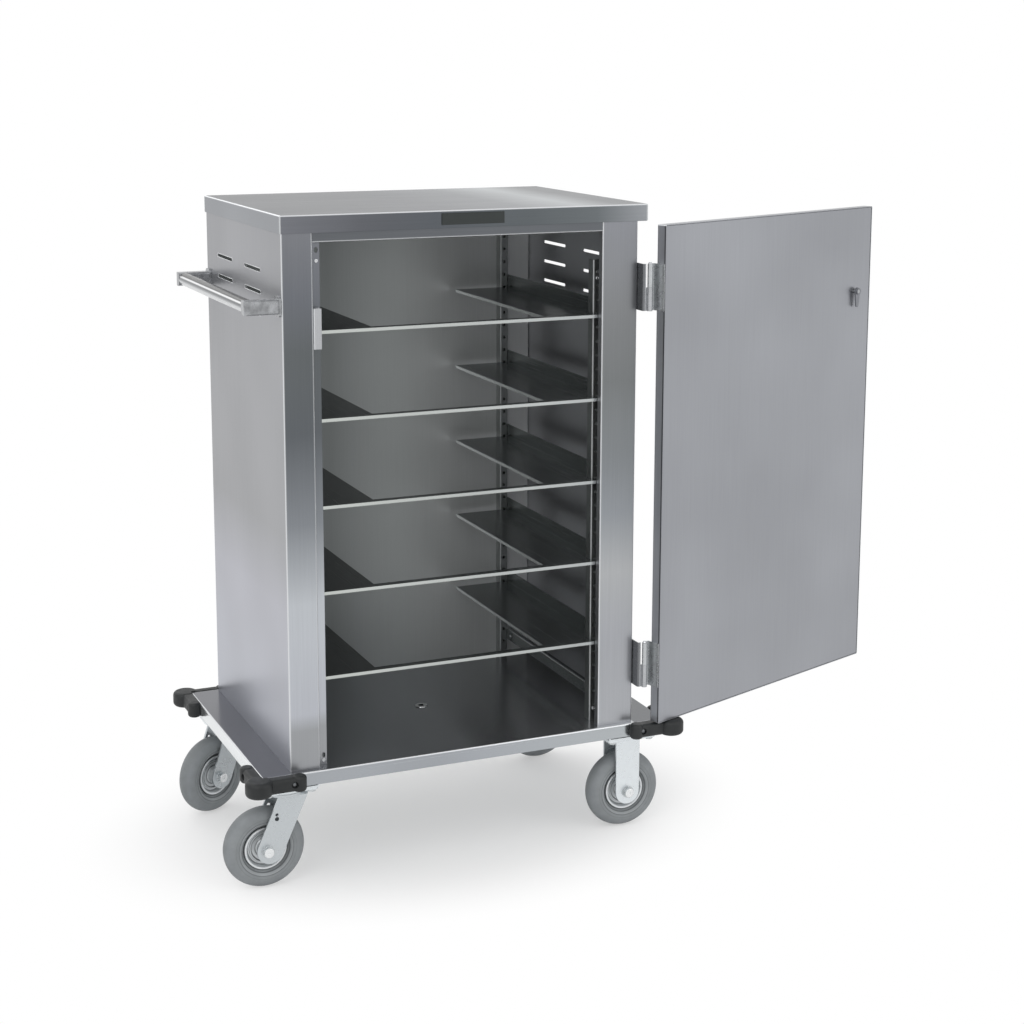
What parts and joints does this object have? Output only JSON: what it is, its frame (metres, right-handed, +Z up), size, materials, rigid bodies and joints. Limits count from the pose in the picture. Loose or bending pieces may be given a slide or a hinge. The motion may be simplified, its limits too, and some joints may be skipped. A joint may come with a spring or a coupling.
{
  "type": "enclosed tray delivery cart",
  "caption": "Enclosed stainless tray delivery cart: sheet-metal cabinet on a castered deck with a side-hung door, open tray shelves, a push handle, vent slots and corner bumpers",
  "frame": {"origin": "on the floor under the middle of the cabinet body", "axes": "+X to the cart's hinge side (the door hangs there), +Y from the front to the back, +Z up; the door opens at -Y"},
  "size_m": [1.4446, 0.5825, 1.231],
  "materials": {
    "brushed_sheet": "brushed stainless sheet, fine grain",
    "inner_sheet": "plain mill-finish stainless sheet",
    "satin_tube": "satin stainless tube and castings",
    "zinc_steel": "bright zinc-plated pressed steel",
    "bright_fastener": "bright stainless fasteners",
    "bumper_rubber": "matt black moulded rubber",
    "tyre_rubber": "grey non-marking rubber tread",
    "wheel_core": "grey moulded wheel centre"
  },
  "bodies": {
    "cart": {"chassis_deck": "brushed_sheet", "caster_channel_left": "zinc_steel", "caster_channel_right": "zinc_steel", "left_side_panel": "brushed_sheet", "right_side_panel": "brushed_sheet", "back_panel": "inner_sheet", "top_cap": "brushed_sheet", "header_rail": "brushed_sheet", "front_post_left": "inner_sheet", "front_post_right": "inner_sheet", "rear_post_left": "inner_sheet", "rear_post_right": "inner_sheet", "tray_shelf_1": "inner_sheet", "tray_shelf_2": "inner_sheet", "tray_shelf_3": "inner_sheet", "tray_shelf_4": "inner_sheet", "tray_shelf_5": "inner_sheet", "low_guide_left": "inner_sheet", "low_guide_right": "inner_sheet", "floor_drain": "satin_tube", "latch_keeper": "satin_tube", "handle_tube": "satin_tube", "handle_bracket_front": "satin_tube", "handle_bracket_rear": "satin_tube", "bumper_front_left": "bumper_rubber", "bumper_front_right": "bumper_rubber", "bumper_rear_left": "bumper_rubber", "bumper_rear_right": "bumper_rubber", "frame_leaf_upper": "brushed_sheet", "frame_leaf_lower": "brushed_sheet", "hinge_pins": "bright_fastener", "top_plate_front": "zinc_steel", "top_plate_rear": "zinc_steel", "rigid_fork_front": "zinc_steel", "rigid_fork_rear": "zinc_steel", "rigid_axles": "zinc_steel", "caster_bolts": "zinc_steel", "body_screws": "bright_fastener"},
    "door": {"door_pan": "brushed_sheet", "door_inner_panel": "inner_sheet", "door_leaf_upper": "brushed_sheet", "door_leaf_lower": "brushed_sheet", "latch_escutcheon": "satin_tube", "door_screws": "bright_fastener"},
    "latch": {"latch_lever": "satin_tube", "latch_pawl": "satin_tube"},
    "swivel_front": {"swivel_fork_front": "zinc_steel", "swivel_axle_front": "zinc_steel"},
    "swivel_rear": {"swivel_fork_rear": "zinc_steel", "swivel_axle_rear": "zinc_steel"},
    "wheel_front_left": {"hub_front_left": "wheel_core", "tyre_front_left": "tyre_rubber"},
    "wheel_rear_left": {"hub_rear_left": "wheel_core", "tyre_rear_left": "tyre_rubber"},
    "wheel_front_right": {"hub_front_right": "wheel_core", "tyre_front_right": "tyre_rubber"},
    "wheel_rear_right": {"hub_rear_right": "wheel_core", "tyre_rear_right": "tyre_rubber"}
  },
  "joints": [
    {"name": "door_hinge", "type": "hinge", "parent": "cart", "child": "door", "pos_m": [0.358, -0.276, 0.7115], "axis": [0, 0, 1], "range_deg": [-200.4, 68.6]},
    {"name": "latch_turn", "type": "hinge", "parent": "door", "child": "latch", "pos_m": [0.92622, -0.06681, 1.0215], "axis": [0.3486, -0.9373, 0], "range_deg": [0, 90]},
    {"name": "swivel_front", "type": "hinge", "parent": "cart", "child": "swivel_front", "pos_m": [-0.345, -0.208, 0.18], "axis": [0, 0, 1], "continuous": true},
    {"name": "swivel_rear", "type": "hinge", "parent": "cart", "child": "swivel_rear", "pos_m": [-0.345, 0.1975, 0.18], "axis": [0, 0, 1], "continuous": true},
    {"name": "spin_front_left", "type": "hinge", "parent": "swivel_front", "child": "wheel_front_left", "pos_m": [-0.386, -0.208, 0.076], "axis": [0, 1, 0], "continuous": true},
    {"name": "spin_rear_left", "type": "hinge", "parent": "swivel_rear", "child": "wheel_rear_left", "pos_m": [-0.38185, 0.17953, 0.076], "axis": [-0.4384, 0.8988, 0], "continuous": true},
    {"name": "spin_front_right", "type": "hinge", "parent": "cart", "child": "wheel_front_right", "pos_m": [0.345, -0.208, 0.076], "axis": [0, 1, 0], "continuous": true},
    {"name": "spin_rear_right", "type": "hinge", "parent": "cart", "child": "wheel_rear_right", "pos_m": [0.345, 0.1975, 0.076], "axis": [0, 1, 0], "continuous": true}
  ]
}
